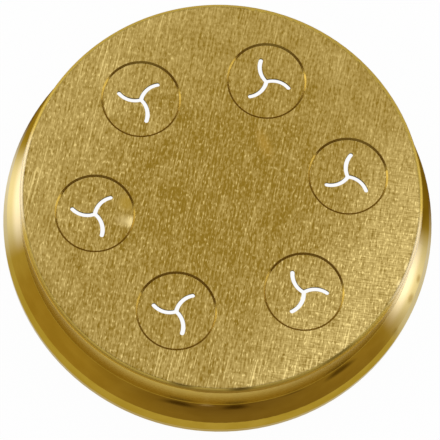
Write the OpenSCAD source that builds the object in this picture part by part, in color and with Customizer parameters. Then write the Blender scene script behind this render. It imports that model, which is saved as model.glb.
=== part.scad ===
// Pasta extrusion die: a flanged brass body with six pressed-in inserts, each cut with a swirl slit.
// The die lies on its feed side. The origin is the middle of the flange's underside,
// and +Z leaves the exit face.

/* [Body] */
// Diameter of the flange's rim
flange_d = 78; // [76:0.5:84]
// Height of the rim, up to the edge where it meets the cone
rim_h = 4.5; // [3.5:0.1:6]
// Radial width of the taper round the top of the rim
taper_w = 0.7; // [0.3:0.1:1.2]
// Height of that taper
taper_h = 2.5; // [1:0.1:3]
// Diameter of the boss that stands through the ring nut
boss_d = 71.7; // [70:0.1:74]
// Height of the boss above the cone
boss_h = 9.9; // [7:0.1:14]
// Height of the cone that the ring nut presses on
cone_h = 4; // [3:0.1:8]
// Radius of the rounded edge of the exit face
face_round = 0.9; // [0.3:0.1:1.5]
// Radius of the fillet where the boss meets the cone
cone_fillet = 0.5; // [0.2:0.1:1]
// Radius of the rounded edges above and below the taper
rim_round = 0.3; // [0.1:0.1:1]
// Bevel of the rim's lower edge
foot_bevel = 0.2; // [0.1:0.1:0.6]

/* [Feed side] */
// Thickness of the boss wall round the recess that spreads the dough over the inserts
recess_wall = 2.5; // [2:0.1:3.5]
// Depth of that recess
recess_h = 9; // [6:0.1:10.5]
// Radius of the fillet round the floor of the recess
recess_fillet = 0.8; // [0.3:0.1:1]
// Bevel at the mouth of the recess
recess_bevel = 0.6; // [0.2:0.1:1]

/* [Inserts] */
// Diameter of the circle through the middles of the inserts
pitch_d = 45.5; // [42:0.1:47]
// Direction of the first insert, in degrees from +X
first_insert = 138; // [0:1:359]
// Diameter of an insert's nose in the exit face
nose_d = 13.6; // [13:0.1:15]
// Depth of the shoulder that an insert's head bears on, below the exit face
shoulder_h = 3.2; // [2.5:0.1:4]
// Diameter of an insert's head
head_d = 17.6; // [17.2:0.1:18.6]
// Radial clearance between an insert and its seat
seat_gap = 0.02; // [0.01:0.01:0.05]
// Bevel round the bore of a seat in the exit face, with the insert's face at its foot
bore_bevel = 0.32; // [0.1:0.01:0.4]
// Bevel round the nose of an insert
nose_bevel = 0.03; // [0.02:0.01:0.2]
// Bevel of the edges of the head
head_bevel = 0.3; // [0.1:0.1:0.5]
// Direction in which an arm leaves the middle of insert 1, in degrees from +X
turn_1 = 86; // [0:1:119]
// The same for insert 2
turn_2 = 26; // [0:1:119]
// The same for insert 3
turn_3 = 4; // [0:1:119]
// The same for insert 4
turn_4 = 41; // [0:1:119]
// The same for insert 5
turn_5 = 87; // [0:1:119]
// The same for insert 6
turn_6 = 90; // [0:1:119]

/* [Slit] */
// Width of the slit, which is the thickness of the dough wall
slit_w = 0.76; // [0.6:0.02:1.2]
// Depth of the slit's own land below the insert's face
land_h = 0.6; // [0.4:0.1:1.2]
// Number of arms
arm_count = 3; // [2:1:4]
// Radius of the bend of an arm
arm_r = 3.7; // [3.2:0.1:6]
// Angle through which an arm bends
arm_bend = 67; // [40:1:75]
// Width of the lead-in behind the land
lead_w = 2.4; // [1.6:0.1:2.6]
// Thickness of the nose's end wall, land and lead-in together
end_wall = 2.2; // [1.8:0.1:2.8]
// Diameter of the feed chamber at the end wall
chamber_d = 11; // [10.8:0.1:11.6]
// Diameter of the feed chamber at its mouth
mouth_d = 15.6; // [14:0.1:16.4]

/* [Hidden] */
$fn = 96;
brass = [0.72, 0.58, 0.28];
insert_brass = [0.75, 0.62, 0.33];

// Largest share of the shorter edge beside it that a rounded corner takes up
corner_share = 0.5;
// Length by which a cut runs past the face that it leaves
cut_over = 1;
// Heights of the top of the cone and of the exit face above the underside
cone_top = rim_h + cone_h;
die_h = cone_top + boss_h;
// Diameter of the recess in the feed side
recess_d = boss_d - 2 * recess_wall;
// Turns of the inserts in their order round the pitch circle, which runs clockwise
insert_turns = [turn_1, turn_2, turn_3, turn_4, turn_5, turn_6];
insert_count = len(insert_turns);
// Height of the inserts' faces
nose_z = die_h - bore_bevel;
// Height of the shoulder that an insert's head bears on
shoulder_z = die_h - shoulder_h;
// Height of the inside of the end wall
chamber_z = nose_z - end_wall;

// The sliver between the corner b, where edges from a and to c meet, and an arc that rounds it.
// The arc has radius r, or less where those edges are too short for it.
module corner(a, b, c, r) {
    u = (a - b) / norm(a - b);
    v = (c - b) / norm(c - b);
    half = acos(u * v) / 2;
    setback = min(r / tan(half), corner_share * min(norm(a - b), norm(c - b)));
    radius = setback * tan(half);
    difference() {
        polygon([b, b + u * setback, b + v * setback]);
        translate(b + (u + v) / norm(u + v) * radius / sin(half)) circle(r = radius);
    }
}

// One half of the body's section, without the recess and the seats
module body_section() {
    axis_top = [0, die_h];
    face_edge = [boss_d / 2, die_h];
    boss_foot = [boss_d / 2, cone_top];
    cone_foot = [flange_d / 2 - taper_w, rim_h];
    taper_foot = [flange_d / 2, rim_h - taper_h];
    rim_foot = [flange_d / 2, foot_bevel];
    bevel_foot = [flange_d / 2 - foot_bevel, 0];
    difference() {
        polygon([axis_top, face_edge, boss_foot, cone_foot, taper_foot, rim_foot, bevel_foot, [0, 0]]);
        corner(axis_top, face_edge, boss_foot, face_round);
        corner(boss_foot, cone_foot, taper_foot, rim_round);
        corner(cone_foot, taper_foot, rim_foot, rim_round);
    }
    corner(face_edge, boss_foot, cone_foot, cone_fillet);
}

// The recess in the feed side, with a bevelled mouth and a filleted floor
module feed_recess() {
    wall = recess_d / 2;
    mouth = [wall, recess_bevel];
    floor_edge = [wall, recess_h];
    floor_middle = [0, recess_h];
    rotate_extrude()
        difference() {
            polygon([
                [0, -cut_over],
                [wall + recess_bevel + cut_over, -cut_over],
                mouth,
                floor_edge,
                floor_middle
            ]);
            corner(mouth, floor_edge, floor_middle, recess_fillet);
        }
}

// The stepped seat of one insert: head bore, nose bore and the bevel of the joint ring
module seat() {
    head_r = head_d / 2 + seat_gap;
    nose_r = nose_d / 2 + seat_gap;
    rotate_extrude()
        polygon([
            [0, recess_h - cut_over],
            [head_r, recess_h - cut_over],
            [head_r, shoulder_z],
            [nose_r, shoulder_z],
            [nose_r, nose_z],
            [nose_r + bore_bevel + cut_over, die_h + cut_over],
            [0, die_h + cut_over]
        ]);
}

// Places its children at insert number i, counted from 0
module at_insert(i) {
    rotate(first_insert - i * 360 / insert_count)
        translate([pitch_d / 2, 0, 0])
            children();
}

module die_body() {
    color(brass)
        difference() {
            rotate_extrude() body_section();
            feed_recess();
            for (i = [0 : insert_count - 1]) at_insert(i) seat();
        }
}

// One arm of the swirl: it leaves the middle along +X and bends to the right, with a round end
module swirl_arm(width) {
    reach = 2 * (arm_r + width);
    translate([0, -arm_r]) {
        intersection() {
            difference() {
                circle(r = arm_r + width / 2);
                circle(r = arm_r - width / 2);
            }
            polygon(concat(
                [[0, 0]],
                [for (share = [0, 0.5, 1])
                    let (angle = 90 - share * arm_bend)
                    reach * [cos(angle), sin(angle)]]
            ));
        }
        rotate(90 - arm_bend) translate([arm_r, 0]) circle(d = width);
    }
}

// The outline of the whole swirl
module swirl(width) {
    circle(d = width);
    for (arm = [0 : arm_count - 1])
        rotate(arm * 360 / arm_count) swirl_arm(width);
}

// The turned blank of an insert: nose, head and the flared feed chamber
module insert_blank() {
    nose_r = nose_d / 2;
    head_r = head_d / 2;
    rotate_extrude()
        polygon([
            [0, nose_z],
            [nose_r - nose_bevel, nose_z],
            [nose_r, nose_z - nose_bevel],
            [nose_r, shoulder_z],
            [head_r - head_bevel, shoulder_z],
            [head_r, shoulder_z - head_bevel],
            [head_r, recess_h + head_bevel],
            [head_r - head_bevel, recess_h],
            [mouth_d / 2, recess_h],
            [chamber_d / 2, chamber_z],
            [0, chamber_z]
        ]);
}

// Insert number i, counted from 0, clocked in its seat
module insert(i) {
    turn = insert_turns[i] - first_insert + i * 360 / insert_count;
    color(insert_brass)
        at_insert(i)
            difference() {
                insert_blank();
                translate([0, 0, chamber_z - cut_over])
                    rotate(turn) {
                        linear_extrude(end_wall + 2 * cut_over) swirl(slit_w);
                        linear_extrude(end_wall - land_h + cut_over) swirl(lead_w);
                    }
            }
}

die_body();
insert(0);  // insert_1
insert(1);  // insert_2
insert(2);  // insert_3
insert(3);  // insert_4
insert(4);  // insert_5
insert(5);  // insert_6
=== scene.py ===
"""Dresses a brass pasta die: a linished exit face, a turned rim and pressed-in inserts with swirl slits."""
import logging
import math
from dataclasses import dataclass, field
from enum import Enum
from typing import Any, Sequence, Union

import bpy
from mathutils import Matrix, Vector


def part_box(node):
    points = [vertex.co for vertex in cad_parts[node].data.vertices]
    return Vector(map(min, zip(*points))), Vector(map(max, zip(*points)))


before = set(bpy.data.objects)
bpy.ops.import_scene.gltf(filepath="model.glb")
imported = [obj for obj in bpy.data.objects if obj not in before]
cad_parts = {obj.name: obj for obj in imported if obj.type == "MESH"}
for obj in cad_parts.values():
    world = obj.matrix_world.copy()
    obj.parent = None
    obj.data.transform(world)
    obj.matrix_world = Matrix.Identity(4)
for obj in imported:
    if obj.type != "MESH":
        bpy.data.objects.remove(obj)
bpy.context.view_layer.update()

LOG = logging.getLogger("pasta_die")
MM = 0.001
IMAGE_PIXELS = 440
NOISE_MIDDLE = 0.5
Colour = tuple[float, float, float]


def linear(red: int, green: int, blue: int) -> Colour:
    """Turns a screen colour of 0 to 255 into the linear values that shaders use.

    Args:
        red: Red as a screen shows it.
        green: Green as a screen shows it.
        blue: Blue as a screen shows it.

    Returns:
        The three linear values.
    """

    def channel(value: int) -> float:
        """Undoes the screen's own curve for one channel."""
        share = value / 255
        return share / 12.92 if share <= 0.04045 else ((share + 0.055) / 1.055) ** 2.4

    return channel(red), channel(green), channel(blue)


class Signal:
    """A shader socket that expressions are written with: each operator adds a Math node."""

    def __init__(self, tree: bpy.types.NodeTree, socket: bpy.types.NodeSocket) -> None:
        """Wraps a socket of a node tree."""
        self.tree = tree
        self.socket = socket

    def _math(self, operation: str, first: "Operand", second: "Operand") -> "Signal":
        """Adds one Math node.

        Args:
            operation: The Math node's operation.
            first: Its first value or link.
            second: Its second value or link.

        Returns:
            The node's result.
        """
        node = self.tree.nodes.new("ShaderNodeMath")
        node.operation = operation
        for slot, value in zip(node.inputs, (first, second)):
            feed(self.tree, slot, value)
        return Signal(self.tree, node.outputs[0])

    def __add__(self, other: "Operand") -> "Signal":
        """Adds."""
        return self._math("ADD", self, other)

    def __radd__(self, other: "Operand") -> "Signal":
        """Adds, with the value on the left."""
        return self._math("ADD", other, self)

    def __sub__(self, other: "Operand") -> "Signal":
        """Subtracts."""
        return self._math("SUBTRACT", self, other)

    def __rsub__(self, other: "Operand") -> "Signal":
        """Subtracts from the value on the left."""
        return self._math("SUBTRACT", other, self)

    def __mul__(self, other: "Operand") -> "Signal":
        """Multiplies."""
        return self._math("MULTIPLY", self, other)

    def __rmul__(self, other: "Operand") -> "Signal":
        """Multiplies, with the value on the left."""
        return self._math("MULTIPLY", other, self)

    def __truediv__(self, other: "Operand") -> "Signal":
        """Divides."""
        return self._math("DIVIDE", self, other)

    def __rtruediv__(self, other: "Operand") -> "Signal":
        """Divides the value on the left."""
        return self._math("DIVIDE", other, self)

    def __pow__(self, other: "Operand") -> "Signal":
        """Raises to a power."""
        return self._math("POWER", self, other)

    def at_least(self, other: "Operand") -> "Signal":
        """Takes the larger of two values."""
        return self._math("MAXIMUM", self, other)


Operand = Union[Signal, float, int, Sequence[float]]


def feed(tree: bpy.types.NodeTree, slot: bpy.types.NodeSocket, value: Operand) -> None:
    """Links a signal to a socket, or sets the socket's own value.

    Args:
        tree: The tree that holds the socket.
        slot: The socket to feed.
        value: A signal, a number, a vector or a colour.
    """
    if isinstance(value, Signal):
        tree.links.new(value.socket, slot)
    elif slot.type == "RGBA":
        slot.default_value = (*value, 1.0)
    else:
        slot.default_value = value


class Graph:
    """A node tree with one way to add nodes to it."""

    def __init__(self, tree: bpy.types.NodeTree) -> None:
        """Empties the tree and keeps it."""
        self.tree = tree
        tree.nodes.clear()

    def node(
        self,
        kind: str,
        settings: dict[str, Any] | None = None,
        sockets: dict[str | int, Operand] | None = None,
        out: str | int = 0,
    ) -> Signal | None:
        """Adds a node.

        Args:
            kind: The node's type.
            settings: Its own settings.
            sockets: Values or links of its inputs, by name or number.
            out: The output that is wanted.

        Returns:
            That output, or nothing where the node is an end.
        """
        node = self.tree.nodes.new(kind)
        for name, value in (settings or {}).items():
            setattr(node, name, value)
        for key, value in (sockets or {}).items():
            feed(self.tree, node.inputs[key], value)
        return Signal(self.tree, node.outputs[out]) if node.outputs else None

    def step(self, value: Operand, low: float, high: float) -> Signal:
        """Rises smoothly from 0 at low to 1 at high, or falls where low is the larger.

        Args:
            value: What is measured.
            low: Where the step starts.
            high: Where the step ends.

        Returns:
            A mask from 0 to 1.
        """
        mask = self.node(
            "ShaderNodeMapRange",
            {"interpolation_type": "SMOOTHSTEP"},
            {"Value": value, "From Min": min(low, high), "From Max": max(low, high)},
        )
        return mask if low < high else 1 - mask

    def parts(self, vector: Signal) -> tuple[Signal, Signal, Signal]:
        """Splits a vector into its three values."""
        return tuple(self.node("ShaderNodeSeparateXYZ", {}, {0: vector}, axis) for axis in range(3))

    def cells(self, vector: Signal, cell: Sequence[float], offset: Sequence[float] = (0, 0, 0)) -> Signal:
        """Scales a position so that one cell of the given size becomes one unit.

        Args:
            vector: A position in metres.
            cell: The size of a cell along each axis, in metres, with 0 for an axis that doesn't count.
            offset: A shift in cells.

        Returns:
            The scaled position.
        """
        factors = tuple(1 / size if size else 0.0 for size in cell)
        scaled = self.node("ShaderNodeVectorMath", {"operation": "MULTIPLY"}, {0: vector, 1: factors})
        return self.node("ShaderNodeVectorMath", {"operation": "ADD"}, {0: scaled, 1: tuple(offset)})

    def turned(self, vector: Signal, degrees: float) -> Signal:
        """Turns a position about the Z axis."""
        sockets = {"Vector": vector, "Angle": math.radians(degrees)}
        return self.node("ShaderNodeVectorRotate", {"rotation_type": "Z_AXIS"}, sockets)

    def noise(self, vector: Signal, detail: float = 2.0, roughness: float = 0.5) -> Signal:
        """Adds noise with cells of one unit.

        Args:
            vector: A scaled position.
            detail: Octaves of finer noise.
            roughness: Share of each finer octave.

        Returns:
            The noise, around its middle value.
        """
        sockets = {"Vector": vector, "Scale": 1.0, "Detail": detail, "Roughness": roughness}
        return self.node("ShaderNodeTexNoise", {"noise_dimensions": "3D"}, sockets)

    def blend(self, share: Operand, first: Operand, second: Operand) -> Signal:
        """Mixes two colours.

        Args:
            share: Share of the second colour.
            first: The first colour.
            second: The second colour.

        Returns:
            The mixed colour.
        """
        settings = {"data_type": "RGBA", "clamp_factor": True}
        return self.node("ShaderNodeMix", settings, {0: share, 6: first, 7: second}, 2)


class Brass(Enum):
    """Colours of the brass, as its finishes show it, with some painted highlight, painted shade and painted
    dark reflection.
    """

    GRAIN_DARK = linear(134, 106, 32)
    GRAIN_LIGHT = linear(234, 210, 138)
    TURNED = linear(178, 148, 58)
    TURNED_DARK = linear(168, 137, 48)
    BOSS = linear(210, 180, 84)
    # Painted highlights for the die's two sides: the outer one on the cone and rim, the inner one on the
    # boss wall
    PAINTED_HIGHLIGHT_OUTER = linear(206, 184, 118)
    PAINTED_HIGHLIGHT_INNER = linear(232, 211, 162)
    JOINT = linear(186, 155, 70)
    BORED = linear(170, 140, 60)
    # Pale tone for worn nicks, and for painted highlights and a painted pale reflection
    RUBBED_AND_PAINTED_HIGHLIGHT = linear(238, 216, 152)
    WORN = linear(160, 131, 52)
    WARM = linear(170, 134, 56)
    # Painted dark reflection for the face edge and the foot of the boss
    PAINTED_DARK_REFLECTION = linear(92, 66, 16)
    # Painted shade for the slit walls
    SLIT_PAINTED_SHADE = linear(56, 42, 18)
    EDGE_TINT = (0.74, 0.67, 0.46)


@dataclass
class Spot:
    """What a finish can know of a point on the die."""

    graph: Graph
    place: Signal
    x: Signal
    y: Signal
    z: Signal
    facing: Signal
    from_axis: Signal
    ring: Signal
    seed: float

    @classmethod
    def on(cls, graph: Graph, middle: Vector, seed: float) -> "Spot":
        """Reads a point's place and facing in the die's own frame.

        Args:
            graph: The material's graph.
            middle: The axis that the piece was turned about.
            seed: A number that keeps the pieces' patterns apart.

        Returns:
            The spot.
        """
        place = graph.node("ShaderNodeTexCoord", out="Object")
        x, y, z = graph.parts(place)
        facing = graph.parts(graph.node("ShaderNodeTexCoord", out="Normal"))[2]
        across, along = x - middle.x, y - middle.y
        from_axis = (x * x + y * y) ** 0.5
        ring = (across * across + along * along) ** 0.5
        return cls(graph, place, x, y, z, facing, from_axis, ring, seed)

    def towards(self, degrees: float) -> Signal:
        """Measures how far the spot lies from the die's axis in one direction."""
        angle = math.radians(degrees)
        return self.x * math.cos(angle) + self.y * math.sin(angle)


@dataclass
class Layer:
    """What a finish gives the shader at a point."""

    colour: Operand
    height: Operand
    rough: Operand
    coat: Operand

    def under(self, graph: Graph, top: "Layer", mask: Signal) -> "Layer":
        """Lays another finish over this one where a mask says so.

        Args:
            graph: The material's graph.
            top: The finish above.
            mask: Where it lies, from 0 to 1.

        Returns:
            The two finishes together.
        """
        return Layer(
            graph.blend(mask, self.colour, top.colour),
            self.height + (top.height - self.height) * mask,
            self.rough + (top.rough - self.rough) * mask,
            self.coat + (top.coat - self.coat) * mask,
        )


@dataclass(frozen=True)
class Linished:
    """The straight grain of an abrasive belt that ran along Y over the body and the inserts alike, with
    painted sheen over the face.
    """

    grain: tuple[float, float, float] = (0.32 * MM, 1.1 * MM, 0.0)
    streak: tuple[float, float, float] = (0.30 * MM, 5.0 * MM, 0.0)
    speck: tuple[float, float, float] = (0.26 * MM, 0.75 * MM, 0.0)
    mottle: tuple[float, float, float] = (0.55 * MM, 0.60 * MM, 0.0)
    cross: tuple[float, float, float] = (2.4 * MM, 0.22 * MM, 0.0)
    scratch: tuple[float, float, float] = (0.28 * MM, 12.0 * MM, 0.0)
    patch: tuple[float, float, float] = (5.0 * MM, 6.0 * MM, 0.0)
    seed_skew: float = 0.7
    grain_share: float = 0.48
    streak_share: float = 0.55
    mottle_share: float = 0.4
    cross_share: float = 0.85
    patch_share: float = 0.3
    speck_from: tuple[float, float] = (0.60, 0.82)
    speck_share: float = 0.45
    speck_lost_fine: float = 0.25
    speck_more_side: float = 0.35
    scratch_from: tuple[float, float] = (0.66, 0.80)
    scratch_share: float = 0.18
    scratch_more_low: float = 0.4
    scratch_more_far: float = 0.25
    lean: float = 3.0
    scratch_lean: float = 6.0
    low_direction: float = -72.0
    low_reach: tuple[float, float] = (23 * MM, 32 * MM)
    side_direction: float = -25.0
    side_reach: tuple[float, float] = (12 * MM, 33 * MM)
    side_painted_sheen: float = 0.22
    far_direction: float = 155.0
    far_reach: tuple[float, float] = (12 * MM, 33 * MM)
    far_scratch_reach: tuple[float, float] = (22 * MM, 31 * MM)
    far_lift: float = 0.08
    fine_direction: float = 70.0
    fine_reach: tuple[float, float] = (4 * MM, 30 * MM)
    fine_calm: float = 0.2
    level: float = 0.065
    outer_painted_sheen: float = 0.11
    outer_reach: tuple[float, float] = (6 * MM, 34 * MM)
    depth: float = 0.002 * MM
    roughness: float = 0.38
    rough_swing: float = 0.2

    def lay(self, spot: Spot) -> Layer:
        """Gives the finish at a point.

        Args:
            spot: The point.

        Returns:
            Its colour, height, roughness and coat.
        """
        graph = spot.graph
        shift = (spot.seed, spot.seed * self.seed_skew, 0.0)
        leaning = graph.turned(spot.place, self.lean)
        scratched = graph.turned(spot.place, self.scratch_lean)
        grain = graph.noise(graph.cells(spot.place, self.grain, shift), 1.0) - NOISE_MIDDLE
        streak = graph.noise(graph.cells(leaning, self.streak, shift), 1.0) - NOISE_MIDDLE
        mottle = graph.noise(graph.cells(spot.place, self.mottle, shift), 1.0) - NOISE_MIDDLE
        cross = graph.noise(graph.cells(spot.place, self.cross, shift), 1.0) - NOISE_MIDDLE
        speck = graph.noise(graph.cells(spot.place, self.speck, shift), 0.0)
        scratch = graph.noise(graph.cells(scratched, self.scratch, shift), 0.0)
        to_side = graph.step(spot.towards(self.side_direction), *self.side_reach)
        fine = graph.step(spot.towards(self.fine_direction), *self.fine_reach)
        low = graph.step(spot.towards(self.low_direction), *self.low_reach)
        far = graph.step(spot.towards(self.far_direction), *self.far_scratch_reach)
        lines = (grain * self.grain_share + streak * self.streak_share) * (1 - fine * self.fine_calm)
        tone = lines + mottle * self.mottle_share + cross * to_side * self.cross_share
        specks = self.speck_share - fine * self.speck_lost_fine + to_side * self.speck_more_side
        scratches = self.scratch_share + low * self.scratch_more_low + far * self.scratch_more_far
        flecks = graph.step(speck, *self.speck_from) * specks
        flecks = flecks + graph.step(scratch, *self.scratch_from) * scratches
        share = self.broad(spot, to_side) + tone + flecks
        colour = graph.blend(share, Brass.GRAIN_DARK.value, Brass.GRAIN_LIGHT.value)
        return Layer(colour, (tone + flecks) * self.depth, self.roughness - tone * self.rough_swing, 0.0)

    def broad(self, spot: Spot, to_side: Signal) -> Signal:
        """Gives the tone that changes slowly over the face: a patchy tone, painted sheen towards the rim
        and the side that shines most, and a lift towards the far side.

        Args:
            spot: The point.
            to_side: How near the point is to the side that shines most.

        Returns:
            The share of the light tone.
        """
        graph = spot.graph
        patch = graph.noise(graph.cells(spot.place, self.patch), 3.0, 0.6) - NOISE_MIDDLE
        # Painted sheen: lighter towards the rim and towards the side that shines most
        outer = graph.step(spot.from_axis, *self.outer_reach) * self.outer_painted_sheen
        far = graph.step(spot.towards(self.far_direction), *self.far_reach) * self.far_lift
        return patch * self.patch_share + outer + far + to_side * self.side_painted_sheen + self.level


@dataclass(frozen=True)
class Turned:
    """Fine rings that a lathe tool leaves round an axis, with a painted highlight at the die's two sides.
    """

    tone: Brass = Brass.TURNED
    tone_dark: Brass = Brass.TURNED_DARK
    pitch: float = 0.12 * MM
    cloud: tuple[float, float, float] = (5 * MM, 5 * MM, 2.5 * MM)
    cloud_from: tuple[float, float] = (0.35, 0.65)
    cloud_share: float = 0.7
    ring_share: float = 0.8
    depth: float = 0.0004 * MM
    roughness: float = 0.08
    cloud_rough: float = 0.04
    ring_rough: float = 0.05
    side_highlight: float = 1.0
    film: float = 0.5
    side_highlight_from: tuple[float, float] = (0.955, 0.995)
    side_highlight_directions: tuple[float, float] = (-11.0, 185.0)
    side_highlight_radii: tuple[float, float] = (33.32 * MM, 34 * MM)
    inner_highlight_radii: tuple[float, float] = (37.6 * MM, 36.5 * MM)

    def lay(self, spot: Spot) -> Layer:
        """Gives the finish at a point.

        Args:
            spot: The point.

        Returns:
            Its colour, height, roughness and coat.
        """
        graph = spot.graph
        ring = graph.node("ShaderNodeCombineXYZ", {}, {0: spot.ring + spot.z, 1: spot.seed, 2: 0.0})
        rings = graph.noise(graph.cells(ring, (self.pitch, 1.0, 0.0)), 2.0)
        cloud = graph.noise(graph.cells(spot.place, self.cloud), 3.0)
        ripple = rings - NOISE_MIDDLE
        share = graph.step(cloud, *self.cloud_from) * self.cloud_share + ripple * self.ring_share
        # Painted highlight: a paler colour and more coat where the rim faces the two side lamps
        right, left = (spot.towards(direction) for direction in self.side_highlight_directions)
        aside = right.at_least(left) / spot.from_axis
        side_highlight = graph.step(aside, *self.side_highlight_from) * self.side_highlight
        side_highlight = side_highlight * graph.step(spot.from_axis, *self.side_highlight_radii)
        colour = graph.blend(share, self.tone_dark.value, self.tone.value)
        bright = graph.step(spot.from_axis, *self.inner_highlight_radii)
        shine = graph.blend(bright, Brass.PAINTED_HIGHLIGHT_OUTER.value, Brass.PAINTED_HIGHLIGHT_INNER.value)
        colour = graph.blend(side_highlight, colour, shine)
        rough = self.roughness + (cloud - NOISE_MIDDLE) * self.cloud_rough + ripple * self.ring_rough
        return Layer(colour, rings * self.depth, rough, side_highlight * self.film)


@dataclass(frozen=True)
class StainAndShade:
    """A narrow place with a mottled tone of its own: the stained joint round each insert, and painted shade
    on the slit walls.
    """

    tone: Brass
    mottle: tuple[float, float, float] = (0.6 * MM, 0.6 * MM, 0.6 * MM)
    mottle_from: tuple[float, float] = (0.3, 0.8)
    mottle_share: float = 0.4
    depth: float = 0.002 * MM
    roughness: float = 0.42
    rough_swing: float = 0.2

    def lay(self, spot: Spot) -> Layer:
        """Gives the finish at a point.

        Args:
            spot: The point.

        Returns:
            Its colour, height, roughness and coat.
        """
        graph = spot.graph
        mottle = graph.noise(graph.cells(spot.place, self.mottle), 3.0)
        share = graph.step(mottle, *self.mottle_from) * self.mottle_share
        colour = graph.blend(share, self.tone.value, Brass.TURNED_DARK.value)
        rough = self.roughness + (mottle - NOISE_MIDDLE) * self.rough_swing
        return Layer(colour, mottle * self.depth, rough, 0.0)


@dataclass(frozen=True)
class OvalMark:
    """An oval mark laid over a finish, for wear, a warm tint, painted highlights and painted dark
    reflections.
    """

    place: tuple[float, float]
    radii: tuple[float, float]
    turn: float
    tone: Brass
    strength: float
    core: float = 0.2
    above: float = 0.0
    above_blur: float = 0.1 * MM
    roughness: float = 0.3
    height_left: float = 0.3

    def over(self, spot: Spot, layer: Layer) -> Layer:
        """Lays the mark over a finish.

        Args:
            spot: The point.
            layer: The finish below.

        Returns:
            The two together.
        """
        graph = spot.graph
        middle = (self.place[0], self.place[1], 0.0)
        moved = graph.node("ShaderNodeVectorMath", {"operation": "SUBTRACT"}, {0: spot.place, 1: middle})
        across, along, _ = graph.parts(graph.turned(moved, -self.turn))
        across, along = across / self.radii[0], along / self.radii[1]
        mask = graph.step((across * across + along * along) ** 0.5, 1.0, self.core) * self.strength
        mask = mask * graph.step(spot.z, self.above, self.above + self.above_blur)
        marked = Layer(self.tone.value, layer.height * self.height_left, self.roughness, layer.coat)
        return layer.under(graph, marked, mask)


@dataclass
class BrassPiece:
    """One brass node of the die, dressed with a finish for each of its zones."""

    name: str
    middle: Vector
    face_z: float
    seed: float
    marks: tuple[OvalMark, ...] = ()
    edge_marks: tuple[OvalMark, ...] = ()
    face_depths: tuple[float, float] = (0.10 * MM, 0.05 * MM)
    face_facing: tuple[float, float] = (0.93, 0.985)
    boss_from: tuple[float, float] = (34.0 * MM, 34.2 * MM)
    boss_foot: tuple[float, float] = (8.6 * MM, 9.0 * MM)
    edge_facing: tuple[float, float] = (0.15, 0.40)
    edge_roughness: float = 0.25
    feed_depths: tuple[float, float] = (0.40 * MM, 0.44 * MM)
    feed_reach: tuple[float, float] = (33.8 * MM, 33.63 * MM)
    coat_roughness: float = 0.12
    linished: Linished = field(default_factory=Linished)
    turned: Turned = field(default_factory=Turned)
    boss: Turned = Turned(Brass.BOSS, Brass.BOSS, depth=0.0001 * MM, roughness=0.20, film=1.0)
    joint: StainAndShade = StainAndShade(Brass.JOINT, roughness=0.22)
    bored: Turned = Turned(
        Brass.BORED, Brass.WORN, 0.25 * MM, depth=0.0015 * MM, roughness=0.30, side_highlight=0.0
    )

    def dress(self) -> bpy.types.Material:
        """Builds the piece's material and puts it in the node's slot.

        Returns:
            The material.
        """
        material = bpy.data.materials.new(f"{self.name}_brass")
        material.use_nodes = True
        graph = Graph(material.node_tree)
        self.shade(graph, self.finish(Spot.on(graph, self.middle, self.seed)))
        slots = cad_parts[self.name].data.materials
        slots.clear()
        slots.append(material)
        return material

    def finish(self, spot: Spot) -> Layer:
        """Lays the piece's finishes over each other.

        Args:
            spot: A point of the piece.

        Returns:
            The finishes together.
        """
        graph = spot.graph
        below = graph.step(spot.z, *(self.face_z - depth for depth in self.feed_depths))
        within = graph.step(spot.from_axis, *self.feed_reach)
        outside = graph.step(spot.from_axis, *self.boss_from)
        on_boss = graph.step(spot.z, *self.boss_foot)
        boss = self.boss.lay(spot)
        boss.rough = boss.rough + outside * graph.step(spot.facing, *self.edge_facing) * self.edge_roughness
        layer = self.turned.lay(spot).under(graph, boss, on_boss)
        layer = layer.under(graph, self.joint.lay(spot), on_boss * (1 - outside))
        layer = layer.under(graph, self.bored.lay(spot), below * within)
        for mark in self.edge_marks:
            layer = mark.over(spot, layer)
        face = self.linished.lay(spot)
        for mark in self.marks:
            face = mark.over(spot, face)
        at_face = graph.step(spot.z, *(self.face_z - depth for depth in self.face_depths))
        return layer.under(graph, face, at_face * graph.step(spot.facing, *self.face_facing))

    def shade(self, graph: Graph, layer: Layer) -> None:
        """Ends the graph with a metal that shows the finish.

        Args:
            graph: The material's graph.
            layer: The finish.
        """
        bump = graph.node("ShaderNodeBump", {}, {"Strength": 1.0, "Distance": 1.0, "Height": layer.height})
        sockets = {
            "Base Color": layer.colour,
            "Metallic": 1.0,
            "Roughness": layer.rough,
            "Specular Tint": Brass.EDGE_TINT.value,
            "Coat Weight": layer.coat,
            "Coat Roughness": self.coat_roughness,
            "Normal": bump,
        }
        shader = graph.node("ShaderNodeBsdfPrincipled", {}, sockets)
        graph.node("ShaderNodeOutputMaterial", {}, {"Surface": shader})


@dataclass
class Insert(BrassPiece):
    """A pressed-in insert, whose slit walls carry painted shade."""

    slit_reach: tuple[float, float] = (6.4 * MM, 6.27 * MM)
    slit_depths: tuple[float, float] = (2.3 * MM, 2.23 * MM)
    slit_facing: tuple[float, float] = (0.5, 0.3)
    slit_shade: StainAndShade = StainAndShade(Brass.SLIT_PAINTED_SHADE)

    def finish(self, spot: Spot) -> Layer:
        """Lays the insert's finishes over each other.

        Args:
            spot: A point of the insert.

        Returns:
            The finishes together.
        """
        graph = spot.graph
        near_face = graph.step(spot.z, *(self.face_z - depth for depth in self.slit_depths))
        inner = graph.step(spot.ring, *self.slit_reach)
        upright = graph.step(spot.facing, *self.slit_facing)
        # Painted shade on the slit walls near the exit face
        return super().finish(spot).under(graph, self.slit_shade.lay(spot), near_face * inner * upright)


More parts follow.
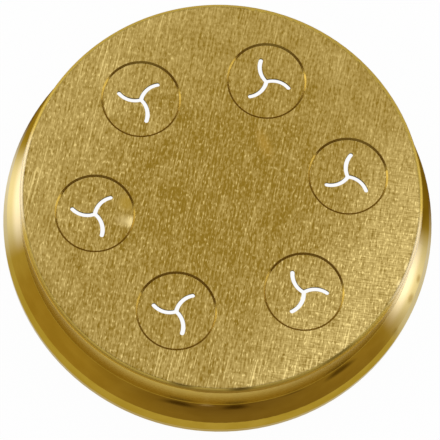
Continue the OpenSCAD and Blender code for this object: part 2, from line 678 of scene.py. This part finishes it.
@dataclass
class Die:
    """The whole die: the body, the inserts round its pitch circle and the marks on them, which are wear, a
    warm tint, painted highlights and painted dark reflections.
    """

    body: str = "die_body"
    insert_prefix: str = "insert_"
    seed_step: float = 3.7
    marks: dict[str, tuple[OvalMark, ...]] = field(
        default_factory=lambda: {
            "die_body": (
                # Bright worn nicks at the edge of the exit face, then a warm tint
                OvalMark((34.1 * MM, -7.8 * MM), (0.45 * MM, 1.2 * MM), -10, Brass.RUBBED_AND_PAINTED_HIGHLIGHT, 0.8),
                OvalMark((33.2 * MM, -11.1 * MM), (0.45 * MM, 1.3 * MM), -18, Brass.RUBBED_AND_PAINTED_HIGHLIGHT, 0.8),
                OvalMark((6.0 * MM, 10.6 * MM), (1.7 * MM, 4.2 * MM), 32, Brass.WARM, 0.5, 0.0),
            ),
            "insert_6": (
                # A darker patch, and a worn polished patch at the right rim with a painted highlight on it
                OvalMark((-16.4 * MM, -4.1 * MM), (2.0 * MM, 2.2 * MM), 0, Brass.WORN, 0.7),
                OvalMark((-15.4 * MM, -7.5 * MM), (3.4 * MM, 1.5 * MM), 0, Brass.RUBBED_AND_PAINTED_HIGHLIGHT, 0.45, 0.0),
                OvalMark((-14.6 * MM, -7.5 * MM), (1.7 * MM, 1.6 * MM), 0, Brass.RUBBED_AND_PAINTED_HIGHLIGHT, 0.7, 0.1),
            ),
        }
    )
    edge_marks: tuple[OvalMark, ...] = (
        # Painted dark reflections along the edge of the exit face
        OvalMark((-1.8 * MM, -35.05 * MM), (3.4 * MM, 0.60 * MM), -3.0, Brass.PAINTED_DARK_REFLECTION, 0.9, above=15 * MM),
        OvalMark((8.4 * MM, -34.15 * MM), (3.2 * MM, 0.60 * MM), 13.8, Brass.PAINTED_DARK_REFLECTION, 0.9, above=15 * MM),
        OvalMark((24.4 * MM, -25.3 * MM), (4.8 * MM, 0.60 * MM), 44.0, Brass.PAINTED_DARK_REFLECTION, 0.6, above=15 * MM),
        # Painted dark reflections at the foot of the boss, with a painted pale reflection between them
        OvalMark((-1.8 * MM, -36.2 * MM), (4.4 * MM, 0.45 * MM), -2.8, Brass.PAINTED_DARK_REFLECTION, 0.9, above=7 * MM),
        OvalMark((8.2 * MM, -35.3 * MM), (3.4 * MM, 0.45 * MM), 13.0, Brass.PAINTED_DARK_REFLECTION, 0.9, above=7 * MM),
        OvalMark((3.1 * MM, -36.0 * MM), (2.0 * MM, 0.35 * MM), 4.9, Brass.RUBBED_AND_PAINTED_HIGHLIGHT, 0.6, above=8 * MM),
        OvalMark((18.1 * MM, -31.3 * MM), (3.4 * MM, 0.4 * MM), 30.0, Brass.PAINTED_DARK_REFLECTION, 0.4, above=8 * MM),
        OvalMark((25.7 * MM, -25.6 * MM), (4.4 * MM, 0.5 * MM), 45.0, Brass.PAINTED_DARK_REFLECTION, 0.85, above=7 * MM),
        # Worn nicks in the cone
        OvalMark((37.4 * MM, -6.0 * MM), (1.2 * MM, 0.5 * MM), 81.0, Brass.WORN, 0.8, above=3 * MM),
        OvalMark((36.5 * MM, -9.9 * MM), (1.5 * MM, 0.6 * MM), 72.0, Brass.WORN, 0.75, above=3 * MM),
        OvalMark((34.6 * MM, -16.3 * MM), (1.3 * MM, 0.6 * MM), 65.0, Brass.WORN, 0.8, above=3 * MM),
    )

    def pieces(self) -> list[BrassPiece]:
        """Lists the pieces with the places that the frame gives them.

        Returns:
            The body first, then the inserts in their order.
        """
        inserts = sorted(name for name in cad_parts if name.startswith(self.insert_prefix))
        face_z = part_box(self.body)[1].z
        middle = Vector((0, 0, 0))
        pieces = [BrassPiece(self.body, middle, face_z, 0.0, self.marks[self.body], self.edge_marks)]
        for number, name in enumerate(inserts, start=1):
            low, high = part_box(name)
            seed = self.seed_step * number
            pieces.append(Insert(name, (low + high) / 2, high.z, seed, self.marks.get(name, ())))
        return pieces


@dataclass(frozen=True)
class Viewpoint:
    """The camera, placed by the angles at which the photo shows the exit face."""

    elevation: float = math.radians(73.65)
    roll: float = math.radians(8.95)
    distance: float = 575.5 * MM
    pixels_per_metre: float = 5646.0
    face_pixel: tuple[float, float] = (221.95, 194.55)
    sensor: float = 36.0
    near_clip: float = 0.01

    def place(self, face_middle: Vector) -> bpy.types.Object:
        """Makes the camera.

        Args:
            face_middle: The middle of the exit face.

        Returns:
            The camera, which is also set as the scene's own.
        """
        right = Vector((1, 0, 0))
        up = Vector((0, math.sin(self.elevation), math.cos(self.elevation)))
        back = right.cross(up)
        image_x = right * math.cos(self.roll) + up * math.sin(self.roll)
        image_y = up * math.cos(self.roll) - right * math.sin(self.roll)
        station = face_middle + back * self.distance
        middle_pixel = IMAGE_PIXELS / 2
        target = (
            face_middle
            + image_x * (middle_pixel - self.face_pixel[0]) / self.pixels_per_metre
            - image_y * (middle_pixel - self.face_pixel[1]) / self.pixels_per_metre
        )
        axis_z = (station - target).normalized()
        axis_x = image_y.cross(axis_z).normalized()
        axis_y = axis_z.cross(axis_x)
        data = bpy.data.cameras.new("viewpoint")
        data.sensor_width = self.sensor
        data.lens = self.pixels_per_metre * self.distance / IMAGE_PIXELS * self.sensor
        data.clip_start = self.near_clip
        camera = bpy.data.objects.new("viewpoint", data)
        camera.matrix_world = Matrix((axis_x, axis_y, axis_z)).transposed().to_4x4()
        camera.matrix_world.translation = station
        bpy.context.scene.collection.objects.link(camera)
        bpy.context.scene.camera = camera
        return camera


@dataclass(frozen=True)
class Softbox:
    """A rectangular studio lamp that the camera doesn't see."""

    name: str
    place: tuple[float, float, float]
    aim: tuple[float, float, float]
    size: tuple[float, float]
    radiance: float

    def hang(self) -> bpy.types.Object:
        """Makes the lamp.

        Returns:
            The lamp's object.
        """
        data = bpy.data.lights.new(self.name, "AREA")
        data.shape = "RECTANGLE"
        data.size, data.size_y = self.size
        data.energy = self.radiance * math.pi * self.size[0] * self.size[1]
        lamp = bpy.data.objects.new(self.name, data)
        lamp.location = self.place
        lamp.rotation_euler = (Vector(self.aim) - Vector(self.place)).to_track_quat("-Z", "Y").to_euler()
        lamp.visible_camera = False
        bpy.context.scene.collection.objects.link(lamp)
        return lamp


@dataclass(frozen=True)
class Glow:
    """A bright spot on the floor beside the die, which only reflections show."""

    name: str
    place: tuple[float, float]
    radii: tuple[float, float]
    radiance: float
    core: float = 0.1
    lift: float = 0.6 * MM


@dataclass(frozen=True)
class Studio:
    """A pale floor, soft lamps, and cards, a flag and glows that only reflections show."""

    floor_half: float = 4.0
    floor_drop: float = 0.05 * MM
    floor_tone: Colour = (0.9, 0.9, 0.9)
    floor_white: float = 0.97
    room_level: float = 0.42
    card_radii: tuple[float, float] = (47 * MM, 320 * MM)
    card_angles: tuple[float, float] = (-176.0, -4.0)
    card_lift: float = 0.3 * MM
    card_dark: Colour = (0.31, 0.23, 0.16)
    card_light: Colour = (0.72, 0.60, 0.32)
    card_dark_x: float = 15 * MM
    card_fade: float = 75 * MM
    card_end: tuple[float, float] = (-27 * MM, -7 * MM)
    card_near: tuple[float, float] = (67 * MM, 56 * MM)
    card_near_lift: float = 0.3
    shade_radii: tuple[float, float] = (39.1 * MM, 72 * MM)
    shade_angles: tuple[float, float] = (2.0, 178.0)
    shade_right: Colour = (0.45, 0.37, 0.15)
    shade_left: Colour = (0.74, 0.64, 0.34)
    shade_foot: Colour = (0.30, 0.19, 0.02)
    shade_near: tuple[float, float] = (45 * MM, 41.5 * MM)
    shade_x: tuple[float, float] = (30 * MM, -30 * MM)
    shade_end: tuple[float, float] = (13 * MM, 4 * MM)
    shade_slope: float = 0.05
    flag_radius: float = 0.8
    flag_angles: tuple[float, float] = (-172.0, -8.0)
    flag_height: float = 0.30
    flag_tone: Colour = (0.18, 0.12, 0.04)
    lamps: tuple[Softbox, ...] = (
        Softbox("ceiling", (0.0, 0.17, 0.56), (0, 0, 0), (0.62, 0.56), 0.95),
        Softbox("right_box", (0.40, 0.08, 0.14), (0, 0, 0.01), (0.29, 0.25), 1.3),
        Softbox("left_box", (-0.40, 0.10, 0.19), (0, 0, 0.01), (0.36, 0.38), 0.35),
        Softbox("left_strip", (-0.38, 0.09, 0.125), (0, 0, 0.01), (0.20, 0.24), 1.3),
        Softbox("front_left_box", (-0.22, -0.50, 0.62), (0, 0, 0), (0.80, 0.36), 0.35),
        Softbox("back_box", (0.0, 0.70, 0.25), (0, 0, 0), (2.6, 0.50), 0.2),
    )
    glows: tuple[Glow, ...] = (
        Glow("right_glow", (52.6 * MM, -6.2 * MM), (11 * MM, 12 * MM), 0.75),
        Glow("left_glow", (-49.5 * MM, 1.0 * MM), (14 * MM, 13 * MM), 0.55),
    )

    def build(self) -> None:
        """Makes the floor, the cards, the flag, the lamps, the glows and the room's own light."""
        self.floor()
        self.card()
        self.shade()
        self.flag()
        for lamp in self.lamps:
            lamp.hang()
        for glow in self.glows:
            self.glow(glow)
        self.room()

    def floor(self) -> bpy.types.Object:
        """Makes the floor, nearly white to the camera and to reflections, with the die's shadow on it.

        Returns:
            The floor.
        """
        half, low = self.floor_half, -self.floor_drop
        corners = [(-half, -half, low), (half, -half, low), (half, half, low), (-half, half, low)]
        floor = self.sheet("floor", corners, [(0, 1, 2, 3)])
        graph = Graph(floor.active_material.node_tree)
        white = graph.node("ShaderNodeEmission", {}, {"Color": (1, 1, 1), "Strength": 1.0})
        paper = graph.node("ShaderNodeBsdfDiffuse", {}, {"Color": self.floor_tone})
        share = self.seen(graph) * self.floor_white
        mixed = graph.node("ShaderNodeMixShader", {}, {0: share, 1: paper, 2: white})
        graph.node("ShaderNodeOutputMaterial", {}, {"Surface": mixed})
        return floor

    def card(self) -> bpy.types.Object:
        """Makes the warm card on the floor, a part of a ring that is darkest in front of the die.

        Returns:
            The card.
        """
        ends = tuple((radius, self.card_lift) for radius in self.card_radii)
        card = self.hidden(self.sheet("warm_card", *self.bent(self.card_angles, ends)))
        graph = Graph(card.active_material.node_tree)
        x, y, _ = graph.parts(graph.node("ShaderNodeTexCoord", out="Object"))
        across = x - self.card_dark_x
        near = graph.step((x * x + y * y) ** 0.5, *self.card_near)
        share = graph.step(across.at_least(0 - across), 0.0, self.card_fade) + near * self.card_near_lift
        tone = graph.blend(share, self.card_dark, self.card_light)
        self.faded(graph, tone, graph.step(y, *self.card_end))
        return card

    def shade(self) -> bpy.types.Object:
        """Makes the card behind the die that stands for the shadow at its foot.

        Returns:
            The card.
        """
        ends = tuple((radius, self.card_lift) for radius in self.shade_radii)
        card = self.hidden(self.sheet("shade_card", *self.bent(self.shade_angles, ends)))
        graph = Graph(card.active_material.node_tree)
        x, y, _ = graph.parts(graph.node("ShaderNodeTexCoord", out="Object"))
        tone = graph.blend(graph.step(x, *self.shade_x), self.shade_right, self.shade_left)
        near = graph.step((x * x + y * y) ** 0.5, *self.shade_near)
        tone = graph.blend(near, tone, self.shade_foot)
        self.faded(graph, tone, graph.step(y + x * self.shade_slope, *self.shade_end))
        return card

    def flag(self) -> bpy.types.Object:
        """Makes the brown flag that stands round the front, low over the floor.

        Returns:
            The flag.
        """
        radius = self.flag_radius
        ends = ((radius, 0.0), (radius, self.flag_height))
        flag = self.hidden(self.sheet("brown_flag", *self.bent(self.flag_angles, ends)))
        graph = Graph(flag.active_material.node_tree)
        brown = graph.node("ShaderNodeEmission", {}, {"Color": self.flag_tone, "Strength": 1.0})
        graph.node("ShaderNodeOutputMaterial", {}, {"Surface": brown})
        return flag

    def glow(self, spot: Glow) -> bpy.types.Object:
        """Makes a bright spot on the floor that fades out round its middle.

        Args:
            spot: The spot's place, radii and level.

        Returns:
            The sheet that shines.
        """
        x, y = spot.place
        across, along = spot.radii
        signs = ((-1, -1), (1, -1), (1, 1), (-1, 1))
        corners = [(x + across * i, y + along * j, spot.lift) for i, j in signs]
        sheet = self.hidden(self.sheet(spot.name, corners, [(0, 1, 2, 3)]))
        graph = Graph(sheet.active_material.node_tree)
        at_x, at_y, _ = graph.parts(graph.node("ShaderNodeTexCoord", out="Object"))
        at_x, at_y = (at_x - x) / across, (at_y - y) / along
        share = graph.step((at_x * at_x + at_y * at_y) ** 0.5, 1.0, spot.core)
        clear = graph.node("ShaderNodeBsdfTransparent")
        white = graph.node("ShaderNodeEmission", {}, {"Color": (1, 1, 1), "Strength": spot.radiance})
        bright = graph.node("ShaderNodeAddShader", {}, {0: white, 1: clear})
        mixed = graph.node("ShaderNodeMixShader", {}, {0: share, 1: clear, 2: bright})
        graph.node("ShaderNodeOutputMaterial", {}, {"Surface": mixed})
        return sheet

    def room(self) -> None:
        """Gives the room its low level of light."""
        world = bpy.data.worlds.new("room")
        world.use_nodes = True
        bpy.context.scene.world = world
        graph = Graph(world.node_tree)
        dim = graph.node("ShaderNodeBackground", {}, {"Color": (1, 1, 1), "Strength": self.room_level})
        graph.node("ShaderNodeOutputWorld", {}, {"Surface": dim})

    @staticmethod
    def bent(
        angles: tuple[float, float], ends: Sequence[tuple[float, float]], steps: int = 32
    ) -> tuple[list[Sequence[float]], list[Sequence[int]]]:
        """Bends a strip round the die.

        Args:
            angles: Where the strip starts and ends, in degrees from +X.
            ends: Radius and height of the strip's two long edges.
            steps: Number of flat pieces.

        Returns:
            The strip's points and faces.
        """
        start, end = (math.radians(angle) for angle in angles)
        points = []
        for index in range(steps + 1):
            angle = start + (end - start) * index / steps
            across, along = math.cos(angle), math.sin(angle)
            points += [(across * radius, along * radius, height) for radius, height in ends]
        return points, [(2 * i, 2 * i + 1, 2 * i + 3, 2 * i + 2) for i in range(steps)]

    @staticmethod
    def faded(graph: Graph, tone: Signal, ending: Signal) -> None:
        """Ends a card's graph with a glow that gives way to nothing.

        Args:
            graph: The card's graph.
            tone: The colour of the glow.
            ending: How much of it is gone, from 0 to 1.
        """
        glow = graph.node("ShaderNodeEmission", {}, {"Color": tone, "Strength": 1.0})
        clear = graph.node("ShaderNodeBsdfTransparent")
        mixed = graph.node("ShaderNodeMixShader", {}, {0: ending, 1: glow, 2: clear})
        graph.node("ShaderNodeOutputMaterial", {}, {"Surface": mixed})

    @staticmethod
    def hidden(piece: bpy.types.Object) -> bpy.types.Object:
        """Leaves a stage piece to reflections alone.

        Args:
            piece: The stage piece.

        Returns:
            The same piece.
        """
        piece.visible_camera = False
        piece.visible_shadow = False
        piece.visible_diffuse = False
        return piece

    @staticmethod
    def seen(graph: Graph) -> Signal:
        """Tells rays that see the floor as background from rays that only carry its light.

        Args:
            graph: The floor's graph.

        Returns:
            1 for camera, glossy and transmission rays.
        """
        camera, glossy, through = (
            graph.node("ShaderNodeLightPath", out=f"Is {kind} Ray")
            for kind in ("Camera", "Glossy", "Transmission")
        )
        return camera.at_least(glossy).at_least(through)

    @staticmethod
    def sheet(
        name: str, points: Sequence[Sequence[float]], faces: Sequence[Sequence[int]]
    ) -> bpy.types.Object:
        """Makes a flat stage piece with a material of its own.

        Args:
            name: The piece's name.
            points: Its corners.
            faces: Its faces.

        Returns:
            The piece.
        """
        mesh = bpy.data.meshes.new(name)
        mesh.from_pydata(points, [], faces)
        material = bpy.data.materials.new(name)
        material.use_nodes = True
        mesh.materials.append(material)
        piece = bpy.data.objects.new(name, mesh)
        bpy.context.scene.collection.objects.link(piece)
        return piece


def main() -> None:
    """Dresses the die, notes each piece's material and sets the stage."""
    logging.basicConfig(level=logging.INFO, format="%(name)s: %(message)s")
    bpy.context.scene.view_settings.view_transform = "Standard"
    die = Die()
    for piece in die.pieces():
        material = piece.dress()
        LOG.info("%s wears %s", piece.name, material.name)
    face_middle = Vector((0, 0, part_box(die.body)[1].z))
    Viewpoint().place(face_middle)
    Studio().build()


if __name__ == "__main__":
    main()
